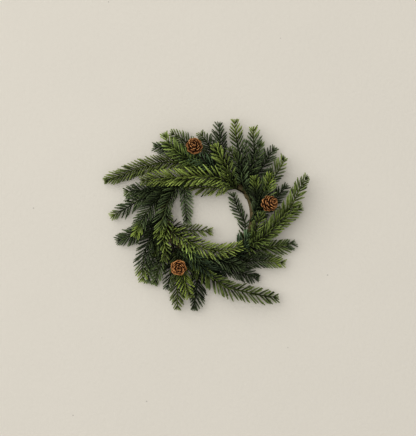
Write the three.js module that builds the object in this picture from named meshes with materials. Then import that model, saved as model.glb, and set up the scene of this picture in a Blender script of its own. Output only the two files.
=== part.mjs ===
// Spruce candle ring: a taped wire ring, dressed with moulded spruce sprays and three small cones.
// Millimetres, +Z up. It lies on its ring's flat underside at z = 0. The origin is under the outline's middle.
import * as THREE from "three";

// Driving dimensions
const ring = { centre: [4.7, 0], radius: 59, thickness: 7, sides: 8, steps: 48 };
const stem = {
  rootRadius: 1.1, tipRadius: 0.6, step: 3, twist: 7, lead: 8, seatGap: 0.5, bare: 14, bareStep: 5,
};
const needle = {
  length: 16, tipLength: 7.5, taperRun: 18, share: 0.52, forward: 42, tipForward: 20,
  sway: { turn: 6, lean: 3, length: [0.94, 1.04] }, // what chance does to every needle
  dodge: { turn: 40, lean: 16, shorter: 0.35 }, // what one may turn, lean and lose to stay clear of others
  tries: 14, gap: 0.16, floor: 0.45, tipRadius: 0.05,
};
const cone = {
  scalesInRow: 7, coreShare: 0.54, scaleLength: 6.2, rim: 0.9, twist: 9, room: 0.8,
  shoulder: 0.68, spread: 0.74, openReach: 0.75, // where a scale is widest, and how wide there
  peak: 0.05, foot: 0.04, // how far the core stands beyond its last rows, of the cone's length
};
const wire = { radius: 0.8, gap: 0.3, straight: 4, sides: 3, steps: 9 };
const candleHole = [
  { low: [-14, -10.5], high: [22.7, 24] },
  { low: [22.7, -20], high: [31.5, 13] },
];

const tones = {
  dark: { color: 0x24433a, roughness: 0.6 },
  teal: { color: 0x1f4a44, roughness: 0.6 },
  twoTone: { color: 0x3f6a38, roughness: 0.6 },
  bright: { color: 0x6f9a3a, roughness: 0.6 },
  olive: { color: 0x56752f, roughness: 0.6 },
};

// Each spray: the clock angle of its root on the ring, the side of the ring that it is bound to (0 outside,
// 90 top, 180 towards the hole), and the points that its stem passes, from root to tip
const sprays = [
  // upper left
  {
    name: "spray_01", tone: "olive", clock: 77, side: 120, needles: 17.5,
    route: [
      [0, 59, 12], [-27, 70, 14], [-60, 69.5, 15], [-87, 63, 13], [-113, 53, 10],
      [-138, 45, 8],
    ],
  },
  {
    name: "spray_02", tone: "bright", clock: 42, side: 90, needles: 19,
    route: [
      [36, 45, 16], [17, 49, 24], [0, 51, 27], [-27, 49, 28], [-47, 49, 27], [-67, 47, 25],
      [-87, 45, 22],
    ],
  },
  {
    name: "spray_03", tone: "olive", clock: 36, side: 165,
    route: [[38, 42, 12], [20, 38.5, 15], [0, 36.5, 17], [-17, 39, 17], [-28, 41, 15]],
  },
  {
    name: "spray_04", tone: "bright", clock: 24, side: 130,
    route: [[38, 38, 22], [32, 53, 28], [28, 65, 30], [21, 77, 31], [16, 88, 30], [12, 95, 28]],
  },
  {
    name: "spray_05", tone: "dark", clock: 96, side: 10,
    route: [[-16, 69, 8], [-27, 86, 8], [-47, 89, 9], [-71, 92, 8]],
  },
  {
    name: "spray_06", tone: "bright", clock: 90, side: 40,
    route: [[-13, 70, 13], [-26, 77, 22], [-40, 87, 25], [-50, 98, 26], [-55, 110, 24]],
  },
  {
    name: "spray_07", tone: "twoTone", clock: 79, side: 5,
    route: [[0, 73, 10], [-12, 86, 14], [-25, 97, 15], [-36, 105, 14], [-48, 111, 12]],
  },
  {
    name: "spray_08", tone: "twoTone", clock: 66, side: 45,
    route: [[12, 80, 11], [4, 95, 14], [-3, 105, 14], [-7, 112, 13]],
  },
  {
    name: "spray_09", tone: "teal", clock: 62, side: 105,
    route: [[9, 66, 17], [-13, 76, 18], [-36, 77, 17]],
  },
  // top
  {
    name: "spray_10", tone: "dark", clock: 64, side: 5,
    route: [[25, 73, 7], [21, 89, 9], [20, 107, 9], [18.5, 125.5, 8]],
  },
  {
    name: "spray_11", tone: "twoTone", clock: 46, side: 35,
    route: [[50, 62, 14], [45.5, 86, 16], [42, 103, 16], [39.5, 129.5, 13]],
  },
  {
    name: "spray_12", tone: "twoTone", clock: 33, side: 60,
    route: [[57, 53, 16], [65, 76, 18], [65, 100, 18], [64, 119, 15]],
  },
  {
    name: "spray_13", tone: "twoTone", clock: 24, side: -10,
    route: [[63, 57, 9], [71, 76, 10], [75, 100, 9]],
  },
  {
    name: "spray_14", tone: "dark", clock: 20, side: 38,
    route: [[67, 49, 9], [79, 67, 10], [87, 81, 10], [95, 92, 9]],
  },
  {
    name: "spray_15", tone: "twoTone", clock: 6, side: 40, needles: 17.5,
    route: [[77, 31, 17], [92, 50, 20], [101, 65, 19], [107, 79, 16]],
  },
  {
    name: "spray_16", tone: "twoTone", clock: 20, side: 80,
    route: [[51, 40, 18], [47, 60, 22], [37, 80, 23], [32, 91, 22]],
  },
  {
    name: "spray_17", tone: "twoTone", clock: 344, side: 110,
    route: [[66, 3, 16], [71, 13, 24], [68, 33, 28], [65, 53, 27]],
  },
  {
    name: "spray_18", tone: "twoTone", clock: 346, side: 65,
    route: [[76, 13, 14], [83, 33, 20], [88, 57, 22]],
  },
  {
    name: "spray_19", tone: "dark", clock: 345, side: 5,
    route: [[76, 3, 7], [87, 13, 8], [99, 27, 8], [112, 41, 7]],
  },
  // right
  {
    name: "spray_20", tone: "bright", clock: 310, side: 90,
    route: [
      [60, -41, 15], [76, -31, 24], [89, -19, 27], [101, -5, 28], [112, 9, 28], [121, 25, 26],
      [129, 40, 23], [138, 53, 20],
    ],
  },
  {
    name: "spray_21", tone: "twoTone", clock: 318, side: 30,
    route: [[71, -33, 13], [93, -17, 16], [113, -1, 15], [132, 11, 12]],
  },
  {
    name: "spray_22", tone: "bright", clock: 323, side: 100,
    route: [[63, -31, 18], [68, -20, 24], [72, -7, 26], [76, 5, 25]],
  },
  {
    name: "spray_23", tone: "dark", clock: 326, side: 175, needles: 15,
    route: [[54, -11, 5], [47, 3, 7], [42, 15, 8], [36.5, 31, 9]],
  },
  {
    name: "spray_24", tone: "twoTone", clock: 296, side: 15,
    route: [[60, -47, 9], [80, -44, 11], [100, -41, 10], [123, -37, 8]],
  },
  {
    name: "spray_25", tone: "twoTone", clock: 279, side: 30,
    route: [[47, -63, 12], [67, -61, 13], [87, -62, 12], [109, -65, 9]],
  },
  {
    name: "spray_26", tone: "dark", clock: 262, side: 5,
    route: [[31, -71, 6], [47, -76, 8], [63, -83, 8], [76, -85, 7]],
  },
  // lower left
  {
    name: "spray_27", tone: "bright", clock: 243, side: 60, needles: 18,
    route: [
      [-3, -73, 12], [11, -85, 16], [27, -95, 17], [47, -101, 17], [73, -107, 14],
      [99, -111, 10],
    ],
  },
  {
    name: "spray_28", tone: "bright", clock: 190, side: 110,
    route: [
      [-36, -27, 16], [-20, -36, 22], [-3, -43, 24], [17, -47, 24], [36, -45, 23],
      [51, -40, 21],
    ],
  },
  {
    name: "spray_29", tone: "olive", clock: 188, side: 180,
    route: [[-44, -15, 7], [-27, -20.5, 10], [-9, -21, 12], [11, -22, 12]],
  },
  {
    name: "spray_30", tone: "dark", clock: 111, side: 180,
    route: [[-29, 40, 6], [-28, 30, 8], [-26, 9, 8], [-25, -13, 8]],
  },
  {
    name: "spray_31", tone: "twoTone", clock: 116, side: 100,
    route: [[-36, 40, 16], [-47, 20, 26], [-53, 1, 28], [-57, -15, 28], [-61, -31, 25]],
  },
  {
    name: "spray_32", tone: "bright", clock: 165, side: 90, needles: 13,
    route: [[-51, -9, 15], [-55, -33, 20], [-52, -47, 22], [-55, -63, 20]],
  },
  {
    name: "spray_33", tone: "twoTone", clock: 134, side: 60,
    route: [[-53, 31, 18], [-68, 16, 23], [-80, -1, 24], [-87, -15, 23], [-94, -31, 20]],
  },
  {
    name: "spray_34", tone: "dark", clock: 124, side: 15,
    route: [[-49, 39, 6], [-67, 33, 12], [-87, 33, 13], [-110, 31, 10]],
  },
  {
    name: "spray_35", tone: "twoTone", clock: 144, side: -15,
    route: [[-67, 27, 7], [-87, 21, 8], [-103, 11, 8], [-128, -3, 7]],
  },
  {
    name: "spray_36", tone: "dark", clock: 168, side: -5, needles: 19,
    route: [[-61, -9, 4.5], [-83, -20, 7], [-100, -28, 8], [-121, -35, 7]],
  },
  {
    name: "spray_37", tone: "twoTone", clock: 175, side: 55, needles: 18,
    route: [[-63, -13, 13], [-74, -33, 16], [-81, -53, 17], [-83, -74, 16], [-84, -91, 13]],
  },
  {
    name: "spray_38", tone: "twoTone", clock: 192, side: 30,
    route: [[-60, -27, 9], [-67, -43, 10], [-68, -57, 10]],
  },
  {
    name: "spray_39", tone: "dark", clock: 205, side: 5,
    route: [[-52, -40, 7], [-60, -65, 8], [-65, -80, 8], [-69, -97, 7]],
  },
  {
    name: "spray_40", tone: "dark", clock: 211, side: 40,
    route: [[-40, -55, 11], [-45, -75, 13], [-51, -101, 12]],
  },
  {
    name: "spray_41", tone: "olive", clock: 220, side: 70,
    route: [[-35, -62, 15], [-36, -82, 17], [-37, -104, 15], [-37, -129, 12]],
  },
  {
    name: "spray_42", tone: "twoTone", clock: 222, side: 110,
    route: [[-30, -63, 18], [-28, -84, 23], [-23, -100, 24], [-19, -111, 22]],
  },
  {
    name: "spray_43", tone: "dark", clock: 236, side: 5,
    route: [[-13, -66, 6], [-11, -89, 8], [-13, -111, 8], [-15, -130, 7]],
  },
  {
    name: "spray_44", tone: "teal", clock: 225, side: 150,
    route: [[-20, -53, 14], [-3, -68, 17.5], [11, -76, 16], [25, -81, 14]],
  },
  {
    name: "spray_45", tone: "dark", clock: 208, side: 140,
    route: [[-29, -40, 14], [-13, -53, 18], [1, -64, 19]],
  },
  {
    name: "spray_46", tone: "dark", clock: 257, side: 90,
    route: [[13, -57, 12], [33, -64, 15], [55, -71, 16]],
  },
  {
    name: "spray_47", tone: "teal", clock: 290, side: 110,
    route: [[44, -53, 12], [53, -37, 15], [60, -23, 14]],
  },
  // low ones that fill between the others
  {
    name: "spray_48", tone: "dark", clock: 194, side: -10,
    route: [[-61, -38, 4.5], [-70, -58, 6], [-75, -78, 7], [-77, -93, 7]],
  },
  {
    name: "spray_49", tone: "dark", clock: 38, side: 0,
    route: [[52, 55, 5], [52, 68, 7], [54, 87, 8], [56, 104, 8]],
  },
  {
    name: "spray_50", tone: "dark", clock: 130, side: -20,
    route: [[-55, 40, 2.2], [-76, 28, 5], [-93, 25, 6], [-108, 23, 6]],
  },
];

// Each cone: its middle, the way its tip points, its width and length, and the way that its wire takes
// from the ring to its base
const cones = [
  {
    name: "cone_1", middle: [-14, 91, 35], axis: [-0.06, 0.3, 0.95], width: 23, length: 23,
    clock: 80, side: 75, route: [[3, 64, 15], [0, 70, 21], [-8, 80, 22]],
  },
  {
    name: "cone_2", middle: [85.3, 15.3, 36], axis: [0.6, 0.22, 0.77], width: 22, length: 24,
    clock: 358, side: 85, route: [[70, 8.5, 15]],
  },
  {
    name: "cone_3", middle: [-34.7, -69.3, 35.5], axis: [0.05, -0.06, 0.99], width: 21.5, length: 23,
    clock: 206, side: 92, route: [[-43, -44, 11], [-40, -58, 18]],
  },
];

const up = new THREE.Vector3(0, 1, 0);
const radians = THREE.MathUtils.degToRad;
const mix = THREE.MathUtils.lerp;

// Random draws in a fixed order
let seed = 20417;
function random(low, high) {
  seed = (seed * 1664525 + 1013904223) >>> 0;
  return mix(low, high, seed / 4294967296);
}

// What stands where: thick line segments, each with the name of its owner
const taken = [];
function take(owner, from, to, fromRadius, toRadius) {
  const reach = from.distanceTo(to) / 2 + Math.max(fromRadius, toRadius);
  taken.push({ owner, from, to, fromRadius, toRadius, middle: from.clone().lerp(to, 0.5), reach });
}

// The nearest approach of two segments, less their thickness there
function clearance(a, b) {
  const u = a.to.clone().sub(a.from);
  const v = b.to.clone().sub(b.from);
  const w = a.from.clone().sub(b.from);
  const uu = u.dot(u), uv = u.dot(v), vv = v.dot(v), uw = u.dot(w), vw = v.dot(w);
  const flat = uu * vv - uv * uv;
  let s = flat > 1e-9 ? THREE.MathUtils.clamp((uv * vw - vv * uw) / flat, 0, 1) : 0;
  const t = THREE.MathUtils.clamp((uv * s + vw) / vv, 0, 1);
  s = THREE.MathUtils.clamp((uv * t - uw) / uu, 0, 1);
  const apart = w.addScaledVector(u, s).addScaledVector(v, -t).length();
  return apart - mix(a.fromRadius, a.toRadius, s) - mix(b.fromRadius, b.toRadius, t);
}

function isFree(owner, from, to, fromRadius, toRadius) {
  const trial = { from, to, fromRadius, toRadius };
  const middle = from.clone().lerp(to, 0.5);
  const reach = from.distanceTo(to) / 2 + fromRadius;
  return taken.every(
    (other) =>
      other.owner === owner ||
      middle.distanceTo(other.middle) > reach + other.reach + needle.gap ||
      clearance(trial, other) > needle.gap,
  );
}

function inCandleHole(from, to) {
  for (let share = 0; share <= 1; share += 0.125) {
    const point = from.clone().lerp(to, share);
    for (const { low, high } of candleHole) {
      if (point.x > low[0] && point.x < high[0] && point.y > low[1] && point.y < high[1]) return true;
    }
  }
  return false;
}

// A point beside the ring's section, at a clock angle, on a side, and at a distance from the section's middle
function ringPoint(clock, side, distance) {
  const out = ring.radius + distance * Math.cos(radians(side));
  return new THREE.Vector3(
    ring.centre[0] + out * Math.cos(radians(clock)),
    ring.centre[1] + out * Math.sin(radians(clock)),
    ringHeight + distance * Math.sin(radians(side)),
  );
}

// The base ring: an eight-sided section, flat below
const ringHeight = (ring.thickness / 2) * Math.cos(Math.PI / ring.sides);
function baseRing() {
  const section = [];
  for (let i = 0; i <= ring.sides; i++) {
    const angle = ((i + 0.5) / ring.sides) * 2 * Math.PI;
    const out = ring.radius + (ring.thickness / 2) * Math.cos(angle);
    section.push(new THREE.Vector2(out, ringHeight + (ring.thickness / 2) * Math.sin(angle)));
  }
  const geometry = new THREE.LatheGeometry(section, ring.steps);
  geometry.rotateX(Math.PI / 2);
  geometry.translate(ring.centre[0], ring.centre[1], 0);
  for (let i = 0; i < ring.steps; i++) {
    const from = ringPoint((i / ring.steps) * 360, 0, 0);
    const to = ringPoint(((i + 1) / ring.steps) * 360, 0, 0);
    take("base_ring", from, to, ring.thickness / 2, ring.thickness / 2);
  }
  return geometry;
}

// A curve that lies along the ring for a short way and then follows its route
function curveFromRing({ clock, side, route }, radius) {
  const seat = ring.thickness / 2 + stem.seatGap + radius;
  const leadAngle = (stem.lead / ring.radius) * (180 / Math.PI);
  const points = [
    ringPoint(clock, side, seat),
    ringPoint(clock + leadAngle, side, seat),
    ...route.map((point) => new THREE.Vector3(...point)),
  ];
  return new THREE.CatmullRomCurve3(points, false, "centripetal");
}

// A stem: triangular sections along its curve, each turned half a face on from the last, so that its faces
// point all round, and the point of its last needle
function stemOf(spray) {
  const curve = curveFromRing(spray, stem.rootRadius);
  const wholeLength = curve.getLength();
  const length = wholeLength - needle.tipLength;
  const bareSteps = Math.round(stem.bare / stem.bareStep);
  const steps = bareSteps + Math.round((length - stem.bare) / stem.step);
  const stations = [];
  for (let i = 0; i <= steps; i++) {
    const bare = i < bareSteps;
    const onward = (i - bareSteps) / (steps - bareSteps);
    const at = bare ? (i / bareSteps) * stem.bare : mix(stem.bare, length, onward);
    const share = at / wholeLength;
    const point = curve.getPointAt(share);
    const along = curve.getTangentAt(share);
    const across = new THREE.Vector3(-along.y, along.x, 0).normalize();
    const over = new THREE.Vector3().crossVectors(along, across);
    const radius = mix(stem.rootRadius, stem.tipRadius, at / length);
    const corners = [0, 1, 2].map((corner) => {
      const angle = radians(corner * 120 + i * (60 + stem.twist));
      const place = point.clone().addScaledVector(across, radius * Math.cos(angle));
      return place.addScaledVector(over, radius * Math.sin(angle));
    });
    stations.push({ point, along, across, over, radius, corners, fromTip: length - at, bare });
    if (i > 0) take(spray.name, stations[i - 1].point, point, stations[i - 1].radius, radius);
  }
  const end = stations[steps];
  const point = end.point.clone().addScaledVector(end.along, needle.tipLength);
  take(spray.name, end.point, point, end.radius, needle.tipRadius);
  return { stations, point };
}

// Tries a needle at its own angle, then bent and turned further and further, until nothing is in its way
function needleTip(spray, station, face) {
  const root = new THREE.Vector3().add(face[0]).add(face[1]).add(face[2]).divideScalar(3);
  const outward = root.clone().sub(station.point);
  const turn = Math.atan2(outward.dot(station.over), outward.dot(station.across));
  const grown = Math.min(1, station.fromTip / needle.taperRun);
  const length = mix(needle.tipLength, spray.needles ?? needle.length, grown);
  const forward = mix(needle.tipForward, needle.forward, grown);
  const { sway, dodge } = needle;
  for (let attempt = 0; attempt < needle.tries; attempt++) {
    const bend = attempt / needle.tries;
    const angle = turn + radians(random(-1, 1) * (sway.turn + dodge.turn * bend));
    const lean = radians(forward + random(-1, 1) * (sway.lean + dodge.lean * bend));
    const reach = length * (1 - dodge.shorter * bend * random(0, 1)) * random(...sway.length);
    const tip = root.clone();
    tip.addScaledVector(station.along, reach * Math.cos(lean));
    tip.addScaledVector(station.across, reach * Math.sin(lean) * Math.cos(angle));
    tip.addScaledVector(station.over, reach * Math.sin(lean) * Math.sin(angle));
    if (tip.z < needle.floor || inCandleHole(root, tip)) continue;
    const line = new THREE.Line3(root, tip);
    const foot = new THREE.Vector3();
    const offLine = (corner) => line.closestPointToPoint(corner, false, foot).distanceTo(corner);
    const radius = Math.max(...face.map(offLine));
    if (!isFree(spray.name, root, tip, radius, needle.tipRadius)) continue;
    take(spray.name, root, tip, radius, needle.tipRadius);
    return tip;
  }
  return null;
}

// A spray: the stem, with faces all round it drawn out into three-sided needles, and its end into a last one
function sprayGeometry(spray, { stations, point }) {
  const positions = [];
  const addFace = (a, b, c) => positions.push(...a.toArray(), ...b.toArray(), ...c.toArray());
  const last = stations.length - 1;
  for (let i = 0; i < last; i++) {
    const here = stations[i];
    const next = stations[i + 1];
    for (let j = 0; j < 3; j++) {
      const k = (j + 1) % 3;
      const faces = [
        [here.corners[j], here.corners[k], next.corners[j]],
        [here.corners[k], next.corners[k], next.corners[j]],
      ];
      for (const face of faces) {
        const bears = !here.bare && random(0, 1) < needle.share;
        const tip = bears ? needleTip(spray, here, face) : null;
        if (tip) {
          addFace(face[0], face[1], tip);
          addFace(face[1], face[2], tip);
          addFace(face[2], face[0], tip);
        } else addFace(...face);
      }
    }
  }
  const [a, b, c] = stations[0].corners;
  addFace(c, b, a);
  const end = stations[last].corners;
  for (let j = 0; j < 3; j++) addFace(end[j], end[(j + 1) % 3], point);
  const geometry = new THREE.BufferGeometry();
  geometry.setAttribute("position", new THREE.Float32BufferAttribute(positions, 3));
  geometry.computeVertexNormals();
  return geometry;
}

// A cone: rows of wedge-shaped scales round an egg-shaped core, each row half a scale on from the last and
// less open. A row's place is a share of the cone's length, and its fullness is the core's width there.
const coneRows = [
  { from: -0.38, to: -0.22, fromFullness: 0.62, toFullness: 0.92, open: 104, size: 0.8 },
  { from: -0.21, to: -0.07, fromFullness: 0.94, toFullness: 1, open: 84, size: 0.98 },
  { from: -0.06, to: 0.06, fromFullness: 1, toFullness: 0.92, open: 66, size: 1 },
  { from: 0.07, to: 0.17, fromFullness: 0.9, toFullness: 0.76, open: 49, size: 0.92 },
  { from: 0.18, to: 0.26, fromFullness: 0.73, toFullness: 0.55, open: 32, size: 0.78 },
  { from: 0.27, to: 0.33, fromFullness: 0.5, toFullness: 0.3, open: 14, size: 0.62 },
];
function coneGeometry(spec) {
  const positions = [];
  const addFace = (...corners) => {
    for (let i = 2; i < corners.length; i++) {
      positions.push(...corners[0].toArray(), ...corners[i - 1].toArray(), ...corners[i].toArray());
    }
  };
  const count = cone.scalesInRow;
  const coreRadius = (spec.width / 2) * cone.coreShare;
  const around = (rowIndex, i) => radians(rowIndex * (180 / count + cone.twist) + (i * 360) / count);
  const corner = (rowIndex, i, height, fullness) => {
    const angle = around(rowIndex, i);
    const out = coreRadius * fullness;
    return new THREE.Vector3(out * Math.cos(angle), height * spec.length, -out * Math.sin(angle));
  };
  const onAxis = (height) => new THREE.Vector3(0, height * spec.length, 0);
  coneRows.forEach((row, rowIndex) => {
    for (let i = 0; i < count; i++) {
      const lowLeft = corner(rowIndex, i, row.from, row.fromFullness);
      const lowRight = corner(rowIndex, i + 1, row.from, row.fromFullness);
      const highRight = corner(rowIndex, i + 1, row.to, row.toFullness);
      const highLeft = corner(rowIndex, i, row.to, row.toFullness);
      const middle = lowLeft.clone().add(lowRight).add(highRight).add(highLeft).divideScalar(4);
      const out = new THREE.Vector3(middle.x, 0, middle.z).normalize();
      const across = new THREE.Vector3().crossVectors(up, out);
      const open = radians(row.open);
      const along = out.clone().multiplyScalar(Math.sin(open)).addScaledVector(up, Math.cos(open));
      const over = up.clone().multiplyScalar(Math.sin(open)).addScaledVector(out, -Math.cos(open));
      const length = cone.scaleLength * row.size;
      const rimRadius = coreRadius * row.toFullness + length * Math.sin(open) * cone.openReach;
      const halfWidth = (cone.spread * Math.PI * rimRadius) / count;
      const rimPoint = (sideways, reach, rise) => {
        const place = middle.clone().addScaledVector(along, reach * length);
        return place.addScaledVector(across, sideways * halfWidth).addScaledVector(over, rise * cone.rim);
      };
      const edge = [[-1, cone.shoulder], [0, 1], [1, cone.shoulder]];
      const top = edge.map(([sideways, reach]) => rimPoint(sideways, reach, 0.5));
      const bottom = edge.map(([sideways, reach]) => rimPoint(sideways, reach, -0.5));
      addFace(highLeft, top[0], top[1], top[2], highRight);
      addFace(lowRight, bottom[2], bottom[1], bottom[0], lowLeft);
      addFace(lowLeft, bottom[0], top[0], highLeft);
      addFace(highRight, top[2], bottom[2], lowRight);
      addFace(bottom[0], bottom[1], top[1], top[0]);
      addFace(bottom[1], bottom[2], top[2], top[1]);
      const next = coneRows[rowIndex + 1];
      if (next) {
        const nextLeft = corner(rowIndex + 1, i, next.from, next.fromFullness);
        const nextRight = corner(rowIndex + 1, i + 1, next.from, next.fromFullness);
        addFace(highLeft, highRight, nextLeft);
        addFace(nextLeft, highRight, nextRight);
      } else addFace(highLeft, highRight, onAxis(row.to + cone.peak));
      if (rowIndex === 0) addFace(lowRight, lowLeft, onAxis(row.from - cone.foot));
    }
  });
  const geometry = new THREE.BufferGeometry();
  geometry.setAttribute("position", new THREE.Float32BufferAttribute(positions, 3));
  geometry.computeVertexNormals();
  const axis = new THREE.Vector3(...spec.axis).normalize();
  geometry.applyQuaternion(new THREE.Quaternion().setFromUnitVectors(up, axis));
  geometry.translate(...spec.middle);
  return geometry;
}

// The room that a cone takes, as a thick line through its middle
function takeCone(spec) {
  const axis = new THREE.Vector3(...spec.axis).normalize();
  const middle = new THREE.Vector3(...spec.middle);
  const radius = spec.width / 2 + cone.room;
  const half = Math.max(spec.length / 2 - radius, cone.room);
  const from = middle.clone().addScaledVector(axis, -half);
  take(spec.name, from, middle.clone().addScaledVector(axis, half), radius, radius);
}

// A cone's wire: round bar along its curve, which ends just under the cone's base
function wireGeometry(spec) {
  const axis = new THREE.Vector3(...spec.axis).normalize();
  const foot = (cone.foot - coneRows[0].from) * spec.length;
  const base = new THREE.Vector3(...spec.middle).addScaledVector(axis, -foot - wire.gap);
  const below = base.clone().addScaledVector(axis, -wire.straight);
  const route = [...spec.route, below.toArray(), base.toArray()];
  const curve = curveFromRing({ ...spec, route }, wire.radius);
  const section = new THREE.Shape();
  section.absarc(0, 0, wire.radius, 0, 2 * Math.PI);
  const points = curve.getSpacedPoints(wire.steps);
  for (let i = 0; i < wire.steps; i++) {
    take(`${spec.name}_wire`, points[i], points[i + 1], wire.radius, wire.radius);
  }
  return new THREE.ExtrudeGeometry(section, {
    steps: wire.steps, curveSegments: wire.sides, extrudePath: curve, bevelEnabled: false,
  });
}

const group = new THREE.Group();
function addPiece(name, geometry, color, roughness) {
  const piece = new THREE.Mesh(geometry, new THREE.MeshStandardMaterial({ color, roughness, metalness: 0 }));
  piece.name = name;
  group.add(piece);
}

addPiece("base_ring", baseRing(), 0x5f5736, 0.85);
cones.forEach(takeCone);
const stems = sprays.map(stemOf);
const wires = cones.map(wireGeometry);
sprays.forEach((spray, index) => {
  const { color, roughness } = tones[spray.tone];
  addPiece(spray.name, sprayGeometry(spray, stems[index]), color, roughness);
});
cones.forEach((spec, index) => {
  addPiece(spec.name, coneGeometry(spec), 0x9a5a2c, 0.7);
  addPiece(`${spec.name}_wire`, wires[index], 0x5a3a22, 0.7);
});

export default group;
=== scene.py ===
import math

import bpy
import numpy as np
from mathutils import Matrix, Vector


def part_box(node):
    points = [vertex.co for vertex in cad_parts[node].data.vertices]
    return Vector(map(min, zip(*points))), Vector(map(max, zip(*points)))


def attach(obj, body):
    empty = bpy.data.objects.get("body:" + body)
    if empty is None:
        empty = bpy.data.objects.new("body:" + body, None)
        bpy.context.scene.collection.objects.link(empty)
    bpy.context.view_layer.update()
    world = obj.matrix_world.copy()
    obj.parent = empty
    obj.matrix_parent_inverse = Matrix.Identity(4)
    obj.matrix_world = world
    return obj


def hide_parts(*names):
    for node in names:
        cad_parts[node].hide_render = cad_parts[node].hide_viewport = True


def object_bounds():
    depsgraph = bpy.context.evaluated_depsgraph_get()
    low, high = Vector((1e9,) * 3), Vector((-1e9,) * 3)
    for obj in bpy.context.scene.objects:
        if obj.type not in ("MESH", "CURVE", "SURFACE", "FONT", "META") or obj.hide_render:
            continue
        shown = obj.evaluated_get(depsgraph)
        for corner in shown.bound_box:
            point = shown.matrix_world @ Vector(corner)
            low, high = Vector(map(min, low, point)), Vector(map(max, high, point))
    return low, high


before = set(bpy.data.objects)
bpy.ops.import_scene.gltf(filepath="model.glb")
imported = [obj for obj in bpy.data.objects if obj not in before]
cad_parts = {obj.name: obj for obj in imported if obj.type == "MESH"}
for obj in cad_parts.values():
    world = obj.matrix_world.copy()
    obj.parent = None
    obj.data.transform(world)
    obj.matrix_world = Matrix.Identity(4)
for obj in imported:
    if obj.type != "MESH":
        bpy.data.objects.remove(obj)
cadBox = [list(corner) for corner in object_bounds()]
mm = 0.001
print("frame loaded:", len(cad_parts), "nodes")


# Shader nodes as plain expressions


class Value:
    def __init__(self, finish, socket):
        self.finish = finish
        self.socket = socket

    def maths(self, operation, *values):
        return self.finish.add("Math", {"operation": operation}, dict(enumerate(values)))

    def __add__(self, other):
        return self.maths("ADD", self, other)

    def __radd__(self, other):
        return self.maths("ADD", other, self)

    def __sub__(self, other):
        return self.maths("SUBTRACT", self, other)

    def __rsub__(self, other):
        return self.maths("SUBTRACT", other, self)

    def __mul__(self, other):
        return self.maths("MULTIPLY", self, other)

    def __rmul__(self, other):
        return self.maths("MULTIPLY", other, self)

    def atLeast(self, least):
        return self.maths("MAXIMUM", self, least)

    def clipped(self):
        return self.maths("MINIMUM", self.atLeast(0.0), 1.0)

    def ramp(self, low, high):  # 0 below low, 1 above high, smooth between
        settings = {"interpolation_type": "SMOOTHSTEP"}
        return self.finish.add("MapRange", settings, {0: self, 1: low, 2: high, 3: 0.0, 4: 1.0})


class Finish:
    def __init__(self, name, shine, **surface):
        self.material = bpy.data.materials.new(name)
        self.material.use_nodes = True
        self.tree = self.material.node_tree
        self.shader = self.tree.nodes["Principled BSDF"]
        self.wear(Specular_IOR_Level=shine, **surface)

    def plug(self, socket, value):
        if isinstance(value, Value):
            self.tree.links.new(value.socket, socket)
        elif socket.type == "RGBA":
            socket.default_value = (*value[:3], 1)
        else:
            socket.default_value = value

    def add(self, kind, settings=None, values=None, output=0):
        node = self.tree.nodes.new("ShaderNode" + kind)
        for name, setting in (settings or {}).items():
            setattr(node, name, setting)
        for name, value in (values or {}).items():
            self.plug(node.inputs[name], value)
        return Value(self, node.outputs[output])

    def blend(self, first, second, share):  # 6, 7 and output 2 are the node's colours
        return self.add("Mix", {"data_type": "RGBA"}, {0: share, 6: first, 7: second}, 2)

    def brighten(self, colour, factor):
        return self.add("VectorMath", {"operation": "SCALE"}, {0: colour, "Scale": factor})

    def tones(self):  # the three numbers and the mark that each mesh keeps in its tone attribute
        tone = self.add("Attribute", {"attribute_name": "tone"})
        split = self.add("SeparateColor", None, {0: tone}).socket.node
        mark = Value(self, tone.socket.node.outputs["Alpha"])
        return [Value(self, split.outputs[i]) for i in range(3)] + [mark]

    def place(self):
        return self.add("TexCoord", output="Object")

    def noise(self, scale, detail, roughness=0.55):
        values = {"Vector": self.place(), "Scale": scale, "Detail": detail, "Roughness": roughness}
        return self.add("TexNoise", None, values)

    def bump(self, height, depth):
        normal = self.add("Bump", None, {"Strength": 1.0, "Distance": depth, "Height": height})
        self.plug(self.shader.inputs["Normal"], normal)

    def wear(self, **surface):
        for socket, value in surface.items():
            self.plug(self.shader.inputs[socket.replace("_", " ")], value)
        return self.material


# Curves and meshes, worked out in millimetres


def smooth(low, high, x):
    t = np.clip((x - low) / (high - low), 0, 1)
    return t * t * (3 - 2 * t)


def unit(v):
    return v / np.linalg.norm(v, axis=-1, keepdims=True)


def profile(points, at):
    # what pairs of a place and a number give at other places
    return np.interp(at, *np.array(points).T)


class Route:
    # a centripetal curve through points, read by the distance along it
    def __init__(self, points, perStretch=40):
        p = np.array(points, float)
        p = np.vstack([2 * p[0] - p[1], p, 2 * p[-1] - p[-2]])
        t = np.linspace(0, 1, perStretch, endpoint=False)[:, None]
        stretches = []
        for a, b, c, d in zip(p, p[1:], p[2:], p[3:]):
            before, here, after = (np.linalg.norm(step) ** 0.5 for step in (b - a, c - b, d - c))
            start = ((b - a) / before - (c - a) / (before + here)) * here + c - b
            end = ((d - c) / after - (d - b) / (here + after)) * here + c - b
            cubic = (3 * (c - b) - 2 * start - end) * t**2 + (2 * (b - c) + start + end) * t**3
            stretches.append(b + start * t + cubic)
        self.line = np.vstack([*stretches, p[-2:-1]])
        steps = np.linalg.norm(np.diff(self.line, axis=0), axis=1)
        self.at = np.concatenate([[0], np.cumsum(steps)])
        self.length = self.at[-1]

    def point(self, at):
        return np.stack([np.interp(at, self.at, self.line[:, k]) for k in range(3)], -1)

    def frames(self, at, reach=0.5):  # point, along, across (level) and over (up)
        ahead = np.minimum(at + reach, self.length)
        along = unit(self.point(ahead) - self.point(np.maximum(at - reach, 0)))
        across = unit(np.stack([-along[:, 1], along[:, 0], 0 * along[:, 0]], -1))
        return self.point(at), along, across, np.cross(along, across)


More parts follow.
